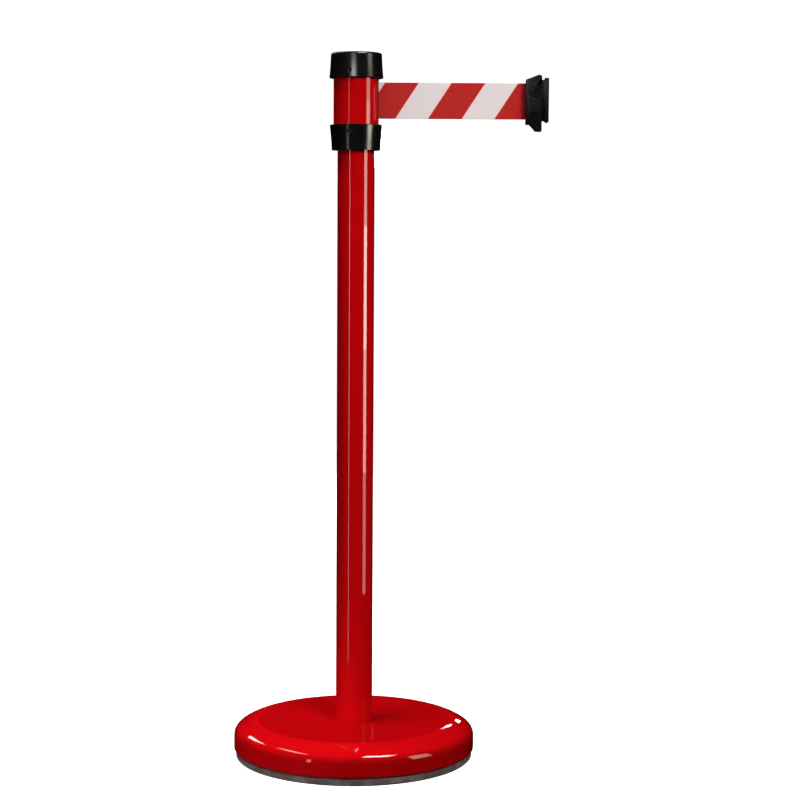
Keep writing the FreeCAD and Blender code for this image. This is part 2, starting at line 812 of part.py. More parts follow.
def make_spindle():
    """Fixed spindle with a groove for its retaining ring, the ring, and the two thrust washers."""
    groove_low = s.top_plate_bottom + s.plate_thickness + 0.1
    groove_high = groove_low + s.clip_ring_thickness + 0.1
    chamfer = 0.8
    turned("spindle", [
        (0, s.base_plate_bottom),
        (s.spindle_radius, s.base_plate_bottom),
        (s.spindle_radius, groove_low),
        (s.spindle_groove, groove_low),
        (s.spindle_groove, groove_high),
        (s.spindle_radius, groove_high),
        (s.spindle_radius, s.spindle_top - chamfer),
        (s.spindle_radius - chamfer, s.spindle_top),
        (0, s.spindle_top),
    ])
    ring_low = groove_low + 0.05
    ring_high = ring_low + s.clip_ring_thickness
    outside = cylinder("spindle_ring_outside", s.clip_ring_radius, ring_low, ring_high)
    inside = cylinder("spindle_ring_inside", s.spindle_groove + s.running_gap, ring_low - 1, ring_high + 1)
    mouth_low = (0, -s.spindle_groove * 0.8, ring_low - 1)
    mouth_high = (s.clip_ring_radius + 1, s.spindle_groove * 0.8, ring_high + 1)
    mouth = block("spindle_ring_mouth", mouth_low, mouth_high)
    tool = fuse("spindle_ring_cuts", [inside, mouth])
    sub_part("spindle_ring", cut("spindle_ring_whole", outside, tool))
    inner = s.spindle_radius + s.fit_gap
    washers = []
    base_top = s.base_plate_bottom + s.plate_thickness
    lows = (base_top + 0.2, s.top_plate_bottom - s.thrust_thickness - 0.1)
    for number, low in enumerate(lows):
        high = low + s.thrust_thickness
        disc = cylinder(f"thrust_disc_{number}", s.thrust_radius, low, high)
        hole = cylinder(f"thrust_hole_{number}", inner, low - 1, high + 1)
        washers.append(cut(f"thrust_{number}", disc, hole))
    group("thrust_washers", washers)


def make_drum():
    """Belt drum: a hollow core with its lower flange, the upper flange, bushes and the belt's anchor pin."""
    bore = s.bush_radius + s.fit_gap
    flange_top = s.drum_bottom + s.flange_thickness
    upper_flange = s.drum_top - s.flange_thickness
    web_low = 925.0
    web_high = 928.0
    body = turned("drum_core", [
        (bore, s.drum_bottom),
        (s.flange_radius, s.drum_bottom),
        (s.flange_radius, flange_top),
        (s.core_radius, flange_top),
        (s.core_radius, upper_flange),
        (s.core_radius - s.core_wall, upper_flange),
        (s.core_radius - s.core_wall, web_high),
        (s.hub_radius, web_high),
        (s.hub_radius, upper_flange),
        (bore, upper_flange),
    ])
    sketch = new_sketch(body, "drum_hollow", "XY_Plane", web_low)
    draw_circle(sketch, s.core_radius - s.core_wall)
    draw_circle(sketch, s.hub_radius)
    pocket(body, sketch, web_low - flange_top)
    anchor = new_sketch(body, "anchor_hole", "XY_Plane", upper_flange)
    anchor_x = s.core_radius - s.core_wall / 2
    anchor_radius = 0.6
    draw_circle(anchor, anchor_radius + s.fit_gap, -anchor_x, 0.0)
    pocket(body, anchor, upper_flange - flange_top - 1)
    ring("drum_top_flange", s.flange_radius, bore, upper_flange, s.drum_top)
    low = flange_top + 1.2
    high = upper_flange - 0.2
    sub_part("belt_anchor_pin", cylinder("anchor_pin", anchor_radius, low, high, -anchor_x, 0.0))
    bushes = []
    for number, low in enumerate((s.drum_bottom, s.drum_top - s.bush_length)):
        outside = cylinder(f"bush_outside_{number}", s.bush_radius, low, low + s.bush_length)
        bore_radius = s.spindle_radius + s.running_gap
        inside = cylinder(f"bush_inside_{number}", bore_radius, low - 1, low + s.bush_length + 1)
        bushes.append(cut(f"bush_{number}", outside, inside))
    group("drum_bushes", bushes)
    ring("belt_wound", s.roll_radius, s.core_radius + s.fit_gap, s.belt_bottom, s.belt_top)


def make_spring_barrel():
    """Barrel that turns with the drum, its lid, the rivets between them, and the flat power spring."""
    inner = s.barrel_radius - s.barrel_wall
    hole = s.spindle_radius + 1.2
    rivet_hole = s.rivet_radius + s.fit_gap
    roof_thickness = 1.5
    roof = s.barrel_top - roof_thickness
    body = turned("spring_barrel", [
        (inner, s.barrel_bottom),
        (s.barrel_radius, s.barrel_bottom),
        (s.barrel_radius, s.barrel_top),
        (hole, s.barrel_top),
        (hole, roof),
        (inner, roof),
    ])
    sketch = new_sketch(body, "barrel_rivet_holes", "XY_Plane", s.barrel_top)
    for azimuth in RIVET_AZIMUTHS:
        draw_circle(sketch, rivet_hole, *on_circle(s.rivet_circle, azimuth))
    pocket(body, sketch, roof_thickness)
    core = next(item for item in parts if item.Label == "drum_core")
    core_sketch = new_sketch(core, "drum_rivet_holes", "XY_Plane", s.drum_bottom + s.flange_thickness)
    for azimuth in RIVET_AZIMUTHS:
        draw_circle(core_sketch, rivet_hole, *on_circle(s.rivet_circle, azimuth))
    pocket(core, core_sketch, s.flange_thickness)
    rivets = []
    rivet_top = s.drum_bottom + s.flange_thickness
    head_radius = s.rivet_radius * 1.7
    for azimuth in RIVET_AZIMUTHS:
        place = on_circle(s.rivet_circle, azimuth)
        shank = cylinder(f"rivet_shank_{azimuth}", s.rivet_radius, roof, rivet_top, *place)
        head = cylinder(f"rivet_head_{azimuth}", head_radius, roof - 1, roof, *place)
        rivets.append(fuse(f"rivet_{azimuth}", [shank, head]))
    group("barrel_rivets", rivets)
    lid_top = s.barrel_bottom + roof_thickness
    ring("barrel_lid", inner - s.fit_gap, s.spindle_radius + 0.3, s.barrel_bottom, lid_top)
    make_power_spring()


def make_power_spring():
    """Flat spiral spring of half circles whose centres step along one line."""
    half_strip = s.spring_strip.value / 2
    step = s.spring_pitch.value / 4
    outer_edges = []
    inner_edges = []
    ends = []
    radius = s.spring_inner_radius.value
    centre_x = 0.0
    for number in range(SPRING_HALF_TURNS):
        way = 1 if number % 2 == 0 else -1
        for offset, edges in ((half_strip, outer_edges), (-half_strip, inner_edges)):
            reach = radius + offset
            start = FreeCAD.Vector(centre_x + way * reach, 0, 0)
            middle = FreeCAD.Vector(centre_x, way * reach, 0)
            end = FreeCAD.Vector(centre_x - way * reach, 0, 0)
            edges.append(Part.Arc(start, middle, end).toShape())
            if number == 0 or number == SPRING_HALF_TURNS - 1:
                ends.append(start if number == 0 else end)
        radius += 2 * step
        centre_x += way * 2 * step
    caps = [Part.LineSegment(ends[0], ends[1]).toShape(), Part.LineSegment(ends[2], ends[3]).toShape()]
    edges = Part.__sortEdges__(outer_edges + inner_edges + caps)
    strip = Part.Face(Part.Wire(edges))
    spring = doc.addObject("Part::Feature", "power_spring")
    spring.Shape = strip.extrude(FreeCAD.Vector(0, 0, s.spring_width.value))
    spring.Placement = FreeCAD.Placement(FreeCAD.Vector(0, 0, s.spring_bottom.value), FreeCAD.Rotation())
    sub_part("power_spring", spring)


def make_free_belt():
    """Belt from the roll, round the guide pin and straight out to the clip, as one thin strip."""
    roll = s.roll_radius.value + 0.3
    bend = s.pin_y.value
    pin = FreeCAD.Vector(s.pin_x.value, -s.pin_y.value, 0)
    tilt = math.atan2(pin.y, pin.x) - math.acos((roll + bend) / pin.Length)
    normal = FreeCAD.Vector(math.cos(tilt), math.sin(tilt), 0)
    off_roll = normal * roll
    on_pin = pin - normal * bend
    over_pin = pin + FreeCAD.Vector(0, bend, 0)
    half = s.belt_thickness.value / 2
    middle_way = (FreeCAD.Vector(0, 1, 0) - normal).normalize()
    lower = FreeCAD.Vector(0, -half, 0)
    end = FreeCAD.Vector(s.belt_end.value, 0, 0)
    edges = [
        Part.LineSegment(off_roll - normal * half, on_pin - normal * half).toShape(),
        Part.Arc(on_pin - normal * half, pin + middle_way * (bend + half), over_pin - lower).toShape(),
        Part.LineSegment(over_pin - lower, end - lower).toShape(),
        Part.LineSegment(end - lower, end + lower).toShape(),
        Part.LineSegment(end + lower, over_pin + lower).toShape(),
        Part.Arc(over_pin + lower, pin + middle_way * (bend - half), on_pin + normal * half).toShape(),
        Part.LineSegment(on_pin + normal * half, off_roll + normal * half).toShape(),
        Part.LineSegment(off_roll + normal * half, off_roll - normal * half).toShape(),
    ]
    strip = Part.Face(Part.Wire(edges))
    belt = doc.addObject("Part::Feature", "belt_free")
    belt.Shape = strip.extrude(FreeCAD.Vector(0, 0, s.belt_top.value - s.belt_bottom.value))
    belt.Placement = FreeCAD.Placement(FreeCAD.Vector(0, 0, s.belt_bottom.value), FreeCAD.Rotation())
    sub_part("belt_free", belt)


# ---------------------------------------------------------------- belt end clip

def clip_outlines():
    """Side outlines of the clip's body, neck and front flange, as (x, z) corners, with their half widths."""
    body = [
        (s.body_left, s.hook_top),
        (s.body_left + 5.3, s.hook_top),
        (s.body_left + 13.5, s.clip_bottom + 0.4),
        (s.neck_left, s.clip_bottom),
        (s.neck_left, s.clip_top - 2.0),
        (s.neck_left - 3.8, s.clip_top),
        (s.body_left + 2.0, s.body_shoulder + 0.4),
        (s.body_left, s.body_shoulder),
    ]
    overlap = 1.0
    neck = [
        (s.neck_left - overlap, s.neck_bottom),
        (s.flange_left + overlap, s.neck_bottom),
        (s.flange_left + overlap, s.neck_top),
        (s.neck_left - overlap, s.neck_top),
    ]
    flange = [
        (s.flange_left, s.flange_bottom + 2.5),
        (s.clip_right, s.flange_bottom),
        (s.clip_right, s.flange_top - 1.0),
        (s.flange_left, s.flange_top),
    ]
    return (
        ("body", body, s.body_half_width),
        ("neck", neck, s.neck_half_width),
        ("flange", flange, s.clip_half_width),
    )


def clip_half(label, rear):
    """One half of the clip, split on the belt's plane; the screws enter through the rear half."""
    body = new_body(label)
    for name, corners, half_width in clip_outlines():
        sketch = new_sketch(body, f"{label}_{name}_outline", "XZ_Plane")
        draw_outline(sketch, corners)
        pad = body.newObject("PartDesign::Pad", f"{label}_{name}")
        pad.Profile = sketch
        bind(pad, "Length", half_width)
        pad.Reversed = rear
    doc.recompute()
    side = -1 if rear else 1
    add_grip_ribs(body, label, side, rear)
    belt_room = 0.6
    bar_room = s.bar_radius + 0.3
    pockets = (
        ("belt_slot", s.body_left - 1, s.bar_x, belt_room),
        ("bar_well", s.bar_x - bar_room, s.bar_x + bar_room, bar_room),
    )
    for name, left, right, depth in pockets:
        sketch = new_sketch(body, f"{label}_{name}", "XZ_Plane")
        low = s.belt_bottom - 1
        high = s.belt_top + 1
        draw_outline(sketch, [(left, low), (right, low), (right, high), (left, high)])
        pocket(body, sketch, depth, reversed_way=not rear)
    holes = new_sketch(body, f"{label}_screw_holes", "XZ_Plane")
    for height in CLIP_SCREW_HEIGHTS:
        draw_circle(holes, s.clip_screw_radius + s.fit_gap, s.clip_screw_x, height)
    hole_depth = s.body_half_width + 1 if rear else s.body_half_width - 3
    pocket(body, holes, hole_depth, reversed_way=not rear)
    if rear:
        well_depth = 3.2
        wells = new_sketch(body, f"{label}_head_wells", "XZ_Plane", -(s.body_half_width + 1))
        for height in CLIP_SCREW_HEIGHTS:
            draw_circle(wells, s.clip_screw_head + 0.3, s.clip_screw_x, height)
        pocket(body, wells, well_depth, reversed_way=True)
    hollow = new_sketch(body, f"{label}_hollow", "XY_Plane", s.flange_top + 1)
    rise = root(s.clip_hollow_radius * s.clip_hollow_radius - s.clip_half_width * s.clip_half_width)
    draw_circle(hollow, s.clip_hollow_radius, s.clip_right + rise, 0.0)
    pocket(body, hollow, s.flange_top + 2 - s.flange_bottom)


def add_grip_ribs(body, label, side, rear):
    """Level finger ribs on the clip's broad face."""
    sketch = new_sketch(body, f"{label}_rib_outline", "XZ_Plane", (s.body_half_width - 1) * side)
    top = s.grip_bottom + s.grip_rib
    draw_outline(sketch, [
        (s.grip_left, s.grip_bottom),
        (s.grip_right, s.grip_bottom),
        (s.grip_right, top),
        (s.grip_left, top),
    ])
    rib = body.newObject("PartDesign::Pad", f"{label}_rib")
    rib.Profile = sketch
    bind(rib, "Length", s.grip_proud + 1)
    rib.Reversed = rear
    doc.recompute()
    ribs = body.newObject("PartDesign::LinearPattern", f"{label}_ribs")
    ribs.Originals = [rib]
    ribs.Direction = (sketch, ["V_Axis"])
    bind(ribs, "Length", s.grip_pitch * (GRIP_RIBS - 1))
    ribs.Occurrences = GRIP_RIBS
    body.Tip = ribs
    doc.recompute()


def make_clip():
    """The clip's two halves, the bar in the belt's sewn loop, and the two screws."""
    clip_half("clip_front_half", rear=False)
    clip_half("clip_rear_half", rear=True)
    bar_low = s.belt_bottom - 0.8
    bar_high = s.belt_top + 0.8
    sub_part("belt_bar", cylinder("bar", s.bar_radius, bar_low, bar_high, s.bar_x, 0.0))
    screws = []
    seat = s.body_half_width - 2.2
    head_height = 1.7
    for number, height in enumerate(CLIP_SCREW_HEIGHTS):
        item = screw(f"clip_screw_{number}", s.clip_screw_head, head_height, s.clip_screw_radius, seat + 8)
        toward_rear = FreeCAD.Rotation(FreeCAD.Vector(0, 0, 1), FreeCAD.Vector(0, 1, 0))
        item.Placement = FreeCAD.Placement(FreeCAD.Vector(), toward_rear)
        for axis, size in (("x", s.clip_screw_x), ("y", seat), ("z", height)):
            bind(item, f"Placement.Base.{axis}", size)
        screws.append(item)
    group("clip_screws", screws)


def check_document():
    """Stop if any object failed or any sub-part's shape is missing or broken."""
    doc.recompute()
    for item in doc.Objects:
        if "Invalid" in item.State or "Error" in item.State:
            raise RuntimeError(f"{item.Name} failed: {item.State}")
    for item in parts:
        if item.Shape.isNull() or not item.Shape.isValid() or not item.Shape.Solids:
            raise RuntimeError(f"{item.Label} has no valid shape")


def write_parts():
    """Write each sub-part to its own file."""
    os.makedirs("parts", exist_ok=True)
    for item in parts:
        item.Shape.exportStep(f"parts/{item.Label}.step")
        print(item.Label, "solids", len(item.Shape.Solids), "volume", round(item.Shape.Volume, 1))


make_floor_tray()
make_base_weight()
make_base_cover()
make_tie_bolt()
make_post()
make_collar()
make_cap()
make_head_tube()
make_slot_liner()
make_top_ring()
make_cassette_plates()
make_pillars()
make_spindle()
make_drum()
make_spring_barrel()
make_free_belt()
make_clip()
check_document()
write_parts()
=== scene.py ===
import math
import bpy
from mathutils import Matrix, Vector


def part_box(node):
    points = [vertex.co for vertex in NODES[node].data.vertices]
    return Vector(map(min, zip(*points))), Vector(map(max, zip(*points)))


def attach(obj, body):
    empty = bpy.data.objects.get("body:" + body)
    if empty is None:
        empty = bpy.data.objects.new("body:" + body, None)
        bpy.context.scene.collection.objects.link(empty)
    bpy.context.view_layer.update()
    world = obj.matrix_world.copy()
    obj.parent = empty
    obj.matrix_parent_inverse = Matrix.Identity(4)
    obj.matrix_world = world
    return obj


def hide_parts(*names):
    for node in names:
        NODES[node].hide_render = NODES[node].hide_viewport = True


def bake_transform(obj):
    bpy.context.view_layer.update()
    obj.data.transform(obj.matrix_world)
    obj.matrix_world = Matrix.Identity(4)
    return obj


bl_info = {
    "name": "Belt stanchion",
    "version": (1, 0, 0),
    "blender": (4, 5, 0),
    "location": "View3D > Sidebar > Stanchion",
    "description": "Finishes a retractable belt stanchion around its engineering model",
    "category": "Object",
}

import bmesh
import bpy
from bpy.props import FloatProperty, FloatVectorProperty, IntProperty, PointerProperty
from mathutils import Euler, Matrix, Vector

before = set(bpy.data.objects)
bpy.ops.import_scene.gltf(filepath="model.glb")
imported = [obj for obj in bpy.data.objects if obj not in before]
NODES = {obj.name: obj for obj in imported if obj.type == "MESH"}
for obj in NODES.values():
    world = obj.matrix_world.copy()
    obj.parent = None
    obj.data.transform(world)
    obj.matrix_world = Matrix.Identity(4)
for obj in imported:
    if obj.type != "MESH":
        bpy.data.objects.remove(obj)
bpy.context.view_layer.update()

MM = 0.001
WHITE = (1.0, 1.0, 1.0, 1.0)
CLEAR_COAT = {"Coat_Roughness": 0.022, "Coat_IOR": 1.5, "Specular_IOR_Level": 0.0}
PEEL_DEPTH = 0.4 * MM
PAPER_GLOW = 0.88
SENSOR_WIDTH = 36.0
OPEN_SPREAD = 180.0

BELT_LOW, BELT_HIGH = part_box("belt_free")
COVER_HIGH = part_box("base_cover")[1]
PIN_LOW, PIN_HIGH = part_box("guide_pins")
ROLL_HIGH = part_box("belt_wound")[1]
SHOULDER_WIDTH = 34.4 * MM
CREASE_REACH = COVER_HIGH.x - SHOULDER_WIDTH


# ------------------------------------------------------------------ shader building

class Value:
    """A number that varies over a surface. Arithmetic on it adds Math nodes."""

    def __init__(self, finish, socket):
        self.finish = finish
        self.socket = socket

    def maths(self, operation, *values):
        return self.finish.node("ShaderNodeMath", {"operation": operation}, values)

    def __add__(self, other):
        return self.maths("ADD", self, other)

    def __sub__(self, other):
        return self.maths("SUBTRACT", self, other)

    def __rsub__(self, other):
        return self.maths("SUBTRACT", other, self)

    def __mul__(self, other):
        return self.maths("MULTIPLY", self, other)

    def __truediv__(self, other):
        return self.maths("DIVIDE", self, other)

    def __pow__(self, other):
        return self.maths("POWER", self, other)

    __radd__ = __add__
    __rmul__ = __mul__

    def sine(self):
        return self.maths("SINE", self)

    def fraction(self):
        return self.maths("FRACT", self)

    def size(self):
        return self.maths("ABSOLUTE", self)

    def step(self, low, high):
        """0 below low, 1 above high, and a soft ramp between them."""
        settings = {"interpolation_type": "SMOOTHSTEP"}
        inputs = {"Value": self, "From Min": low, "From Max": high}
        return self.finish.node("ShaderNodeMapRange", settings, inputs)


class Finish:
    """A material under construction: one method adds any node, the others name what surfaces use."""

    def __init__(self, name):
        self.material = bpy.data.materials.new(name)
        self.material.use_nodes = True
        self.tree = self.material.node_tree
        self.tree.nodes.clear()
        self.output = self.tree.nodes.new("ShaderNodeOutputMaterial")
        self.surface = self.tree.nodes.new("ShaderNodeBsdfPrincipled")
        self.tree.links.new(self.surface.outputs["BSDF"], self.output.inputs["Surface"])
        self.place = self.node("ShaderNodeTexCoord", output="Object")

    def node(self, kind, settings=None, inputs=(), output=0):
        """Add a node with its settings and inputs, and give back one output as a Value."""
        made = self.tree.nodes.new(kind)
        for name, setting in (settings or {}).items():
            setattr(made, name, setting)
        named = inputs.items() if isinstance(inputs, dict) else enumerate(inputs)
        for name, value in named:
            self.feed(made.inputs[name], value)
        return Value(self, made.outputs[output])

    def feed(self, socket, value):
        """Link a Value into a socket, or set the socket to a plain value."""
        if isinstance(value, Value):
            self.tree.links.new(value.socket, socket)
        else:
            socket.default_value = value

    def axes(self):
        """The three object coordinates, in metres."""
        split = self.node("ShaderNodeSeparateXYZ", None, [self.place]).socket.node
        return [Value(self, output) for output in split.outputs]

    def vector(self, x=0.0, y=0.0, z=0.0):
        return self.node("ShaderNodeCombineXYZ", None, [x, y, z])

    def noise(self, scale, detail=3.0, roughness=0.5, place=None):
        inputs = {"Vector": place or self.place, "Scale": scale, "Detail": detail, "Roughness": roughness}
        return self.node("ShaderNodeTexNoise", None, inputs)

    def mix(self, share, first, second):
        """A colour between two colours."""
        settings = {"data_type": "RGBA", "blend_type": "MIX"}
        made = self.node("ShaderNodeMix", settings, output=2).socket.node
        for index, value in ((0, share), (6, first), (7, second)):
            self.feed(made.inputs[index], value)
        return Value(self, made.outputs[2])

    def bump(self, height, strength, distance):
        inputs = {"Strength": strength, "Distance": distance, "Height": height}
        return self.node("ShaderNodeBump", None, inputs)

    def set(self, **values):
        """Set the surface shader's sockets, with underscores for spaces."""
        for name, value in values.items():
            self.feed(self.surface.inputs[name.replace("_", " ")], value)
        return self


def colour(red, green, blue):
    """A linear colour from a display colour in 0 to 255."""
    def linear(channel):
        share = channel / 255
        return share / 12.92 if share <= 0.04045 else ((share + 0.055) / 1.055) ** 2.4
    return (linear(red), linear(green), linear(blue), 1.0)


def scaled(tint, factor):
    """A colour made lighter or darker."""
    return tuple(min(1.0, channel * factor) for channel in tint[:3]) + (1.0,)


# ------------------------------------------------------------------ finishes

def red_lacquer(name, tint, orange_peel):
    """Gloss red paint under a clear coat: faint orange peel, clouding, specks and small rubs."""
    finish = Finish(name)
    cloud = finish.noise(9.0, 4.0)
    specks = finish.noise(2600.0, 1.0).step(0.70, 0.76)
    rubs = finish.noise(340.0, 5.0, 0.65).step(0.62, 0.74)
    base = finish.mix(cloud * 0.5, tint, scaled(tint, 0.86))
    base = finish.mix(specks * 0.25, base, scaled(tint, 1.5))
    peel = finish.noise(420.0, 2.0)
    return finish.set(
        Base_Color=base,
        Roughness=0.38 + cloud * 0.06 + rubs * 0.10,
        Coat_Weight=1.0 - rubs * 0.15,
        Normal=finish.bump(peel, orange_peel, PEEL_DEPTH),
        **CLEAR_COAT,
    ).material


def cover_lacquer(tint, orange_peel):
    """Gloss red cover: a painted sheen lightens its shoulder, painted shade darkens its lower wall, and dust
    and soles dull the clear coat on the crown.
    """
    dulled_coat = 0.05
    wall_top = COVER_HIGH.z - 18 * MM
    shoulder_start = COVER_HIGH.z - 7 * MM
    finish = Finish("cover_lacquer")
    x, y, z = finish.axes()
    reach = (x * x + y * y) ** 0.5
    cloud = finish.noise(7.0, 4.0)
    specks = finish.noise(2600.0, 1.0).step(0.70, 0.76)
    rubs = finish.noise(300.0, 6.0, 0.7).step(0.60, 0.74)
    shoulder = reach.step(CREASE_REACH - 1 * MM, CREASE_REACH + 2 * MM)
    # Painted shade: the wall below the shoulder is painted darker, standing in for the shade near the floor.
    painted_wall_shade = 1.0 - z.step(wall_top, shoulder_start)
    # Painted sheen: outside the crease the colour is 1.5 times lighter, standing in for the light the
    # shoulder catches.
    base = finish.mix(shoulder, tint, scaled(tint, 1.50))
    base = finish.mix(painted_wall_shade * shoulder, base, scaled(tint, 0.90))
    base = finish.mix(cloud * 0.5, base, scaled(tint, 0.86))
    base = finish.mix(specks * 0.25, base, scaled(tint, 1.5))
    peel = finish.noise(420.0, 2.0)
    clear = reach.step(CREASE_REACH - 3 * MM, CREASE_REACH + 12 * MM)
    return finish.set(
        Base_Color=base,
        Roughness=0.40 + cloud * 0.06 + rubs * 0.10,
        Coat_Weight=dulled_coat + clear * (1.0 - dulled_coat - rubs * 0.15),
        Normal=finish.bump(peel, orange_peel, PEEL_DEPTH),
        **CLEAR_COAT,
    ).material


def moulded_black(name, tint, roughness, grain, gloss=0.5):
    """Injection moulded black plastic: fine spark grain, a few flow marks and lighter rubbed spots."""
    finish = Finish(name)
    cloud = finish.noise(60.0, 3.0)
    fine = finish.noise(3800.0, 2.0, 0.6)
    scuffs = finish.noise(700.0, 6.0, 0.7).step(0.60, 0.72)
    base = finish.mix(cloud * 0.6, tint, scaled(tint, 1.7))
    base = finish.mix(scuffs * 0.2, base, scaled(tint, 3.0))
    return finish.set(
        Base_Color=base,
        Roughness=roughness + fine * 0.10 + scuffs * 0.08,
        Specular_IOR_Level=gloss,
        Normal=finish.bump(fine, grain, 0.0002),
    ).material


def matt_rubber():
    """Dark grey rubber with a dusty bloom and a fine ground-down grain."""
    finish = Finish("matt_rubber")
    bloom = finish.noise(35.0, 5.0, 0.6)
    grain = finish.noise(1900.0, 3.0, 0.7)
    dark, light = colour(78, 67, 65), colour(112, 99, 96)
    base = finish.mix(bloom.step(0.35, 0.7), dark, light)
    return finish.set(
        Base_Color=base,
        Roughness=0.72 + grain * 0.18,
        Normal=finish.bump(grain, 0.35, 0.0003),
    ).material


def plated_steel(name, tint, turned_marks):
    """Zinc plated or turned steel: fine rings about the vertical axis and a cloudy passivated tint."""
    finish = Finish(name)
    x, y, z = finish.axes()
    reach = (x * x + y * y) ** 0.5
    place = finish.vector(reach * 2400.0, z * 900.0, 0.0)
    lines = finish.noise(1.0, 3.0, 0.6, place)
    cloud = finish.noise(45.0, 4.0)
    base = finish.mix(cloud.step(0.3, 0.7), tint, scaled(tint, 0.78))
    return finish.set(
        Base_Color=base,
        Metallic=0.95 - cloud * 0.1,
        Roughness=0.26 + lines * 0.16,
        Normal=finish.bump(lines, turned_marks, 0.0001),
    ).material


def sand_cast_iron():
    """Rough cast iron with a thin grey primer and rust in its pits."""
    finish = Finish("sand_cast_iron")
    grains = finish.noise(900.0, 5.0, 0.7)
    blotch = finish.noise(22.0, 4.0)
    base = finish.mix(blotch, colour(70, 70, 72), colour(98, 97, 97))
    base = finish.mix(grains.step(0.62, 0.75) * 0.7, base, colour(104, 58, 34))
    return finish.set(
        Base_Color=base,
        Metallic=0.35,
        Roughness=0.65 + grains * 0.2,
        Normal=finish.bump(grains, 0.8, 0.0008),
    ).material


def moulded_nylon(name, tint):
    """Pale moulded plastic of the inner pieces, slightly waxy, with faint flow lines."""
    finish = Finish(name)
    flow = finish.noise(55.0, 5.0, 0.6)
    fine = finish.noise(2500.0, 2.0)
    base = finish.mix(flow, tint, scaled(tint, 0.82))
    return finish.set(
        Base_Color=base,
        Roughness=0.42 + fine * 0.14,
        Normal=finish.bump(fine, 0.2, 0.0002),
    ).material


def sintered_bronze():
    """Oil-soaked sintered bronze with open pores."""
    finish = Finish("sintered_bronze")
    pores = finish.noise(4200.0, 3.0, 0.6)
    patina = finish.noise(120.0, 4.0)
    base = finish.mix(patina, colour(188, 138, 82), colour(150, 104, 62))
    base = finish.mix(pores.step(0.6, 0.7) * 0.6, base, colour(70, 48, 30))
    return finish.set(
        Base_Color=base,
        Metallic=0.9,
        Roughness=0.36 + pores * 0.2,
        Normal=finish.bump(pores, 0.4, 0.0002),
    ).material


def belt_weave(stripes):
    """Woven polyester belt with printed diagonal bands: ribs, cross threads, ink bleed and dark selvedges."""
    finish = Finish("belt_weave")
    x, _, z = finish.axes()
    wander = (finish.noise(900.0, 2.0) - 0.5) * (0.6 * MM)
    along = x - (z - BELT_LOW.z) * stripes.lean - stripes.start + wander
    phase = (along / stripes.period).fraction()
    soft = 0.008
    white = phase.step(0.0, soft) * (1.0 - phase.step(0.5 - soft, 0.5))
    bleed = phase.step(0.0, soft) * (1.0 - phase.step(0.016, 0.028))
    bleed = bleed + phase.step(0.472, 0.484) * (1.0 - phase.step(0.5 - soft, 0.5))
    ribs = (z * (2.0 * math.pi / stripes.rib_pitch)).sine()
    threads = (x * (2.0 * math.pi / stripes.thread_pitch)).sine()
    weave = ribs * 0.6 + ribs * threads * 0.4
    streaks = finish.noise(1.0, 4.0, 0.65, finish.vector(x * 18.0, 0.0, z * 1500.0))
    slubs = finish.noise(1.0, 2.0, 0.5, finish.vector(x * 260.0, 0.0, z * 2600.0))
    red = finish.mix(streaks.step(0.30, 0.72), stripes.red_dark, stripes.red)
    pale = finish.mix(streaks.step(0.30, 0.72), stripes.white_dark, stripes.white)
    base = finish.mix(white, red, pale)
    base = finish.mix(bleed * 0.7, base, stripes.bleed)
    base = finish.mix(slubs.step(0.60, 0.75) * 0.16, base, stripes.slub)
    middle = (BELT_LOW.z + BELT_HIGH.z) / 2
    edge = ((z - middle).size() * 2.0 / (BELT_HIGH.z - BELT_LOW.z)).step(0.955, 0.985)
    base = finish.mix(edge * (0.45 - white * 0.33), base, scaled(stripes.red_dark, 0.35))
    return finish.set(
        Base_Color=base,
        Roughness=0.74 + streaks * 0.14,
        Sheen_Weight=0.12,
        Sheen_Roughness=0.4,
        Specular_IOR_Level=0.25,
        Normal=finish.bump(weave * 0.5 + streaks * 0.5, 0.35, 0.0002),
    ).material


def stage_paper():
    """Pale seamless paper for floor and backdrop."""
    finish = Finish("pale_paper")
    fibre = finish.noise(140.0, 4.0)
    base = finish.mix(fibre, (0.90, 0.90, 0.90, 1.0), (0.93, 0.93, 0.93, 1.0))
    return finish.set(
        Base_Color=base,
        Roughness=0.9,
        Specular_IOR_Level=0.0,
        Emission_Color=WHITE,
        Emission_Strength=PAPER_GLOW,
    ).material


# ------------------------------------------------------------------ mesh helpers

def dress(names, material):
    """Give CAD nodes a finish."""
    for name in names:
        slots = NODES[name].data.materials
        slots.clear()
        slots.append(material)


def piece_from(mesh_data, name, material):
    """A shown object made from a bmesh, smooth shaded with sharp corners kept."""
    mesh = bpy.data.meshes.new(name)
    mesh_data.to_mesh(mesh)
    mesh_data.free()
    for face in mesh.polygons:
        face.use_smooth = True
    sharp_from = 32
    mesh.set_sharp_from_angle(angle=math.radians(sharp_from))
    mesh.materials.append(material)
    item = bpy.data.objects.new(name, mesh)
    bpy.context.scene.collection.objects.link(item)
    return item


def rounded_copy(node, name, material, radius, segments):
    """A copy of a CAD node with every sharp edge rounded."""
    flat_within = math.radians(1.0)
    sharp_from = math.radians(28.0)
    work = bmesh.new()
    work.from_mesh(NODES[node].data)
    bmesh.ops.remove_doubles(work, verts=work.verts, dist=0.002 * MM)
    bmesh.ops.dissolve_limit(
        work, angle_limit=flat_within, verts=work.verts, edges=work.edges, use_dissolve_boundaries=False,
    )
    sharp = [
        edge for edge in work.edges
        if len(edge.link_faces) == 2 and edge.calc_face_angle(0.0) > sharp_from
    ]
    bmesh.ops.bevel(
        work, geom=sharp, offset=radius, offset_type="OFFSET", segments=segments,
        profile=0.5, affect="EDGES", clamp_overlap=True, miter_outer="ARC",
    )
    bmesh.ops.remove_doubles(work, verts=work.verts, dist=0.001 * MM)
    return piece_from(work, name, material)


# ------------------------------------------------------------------ belt

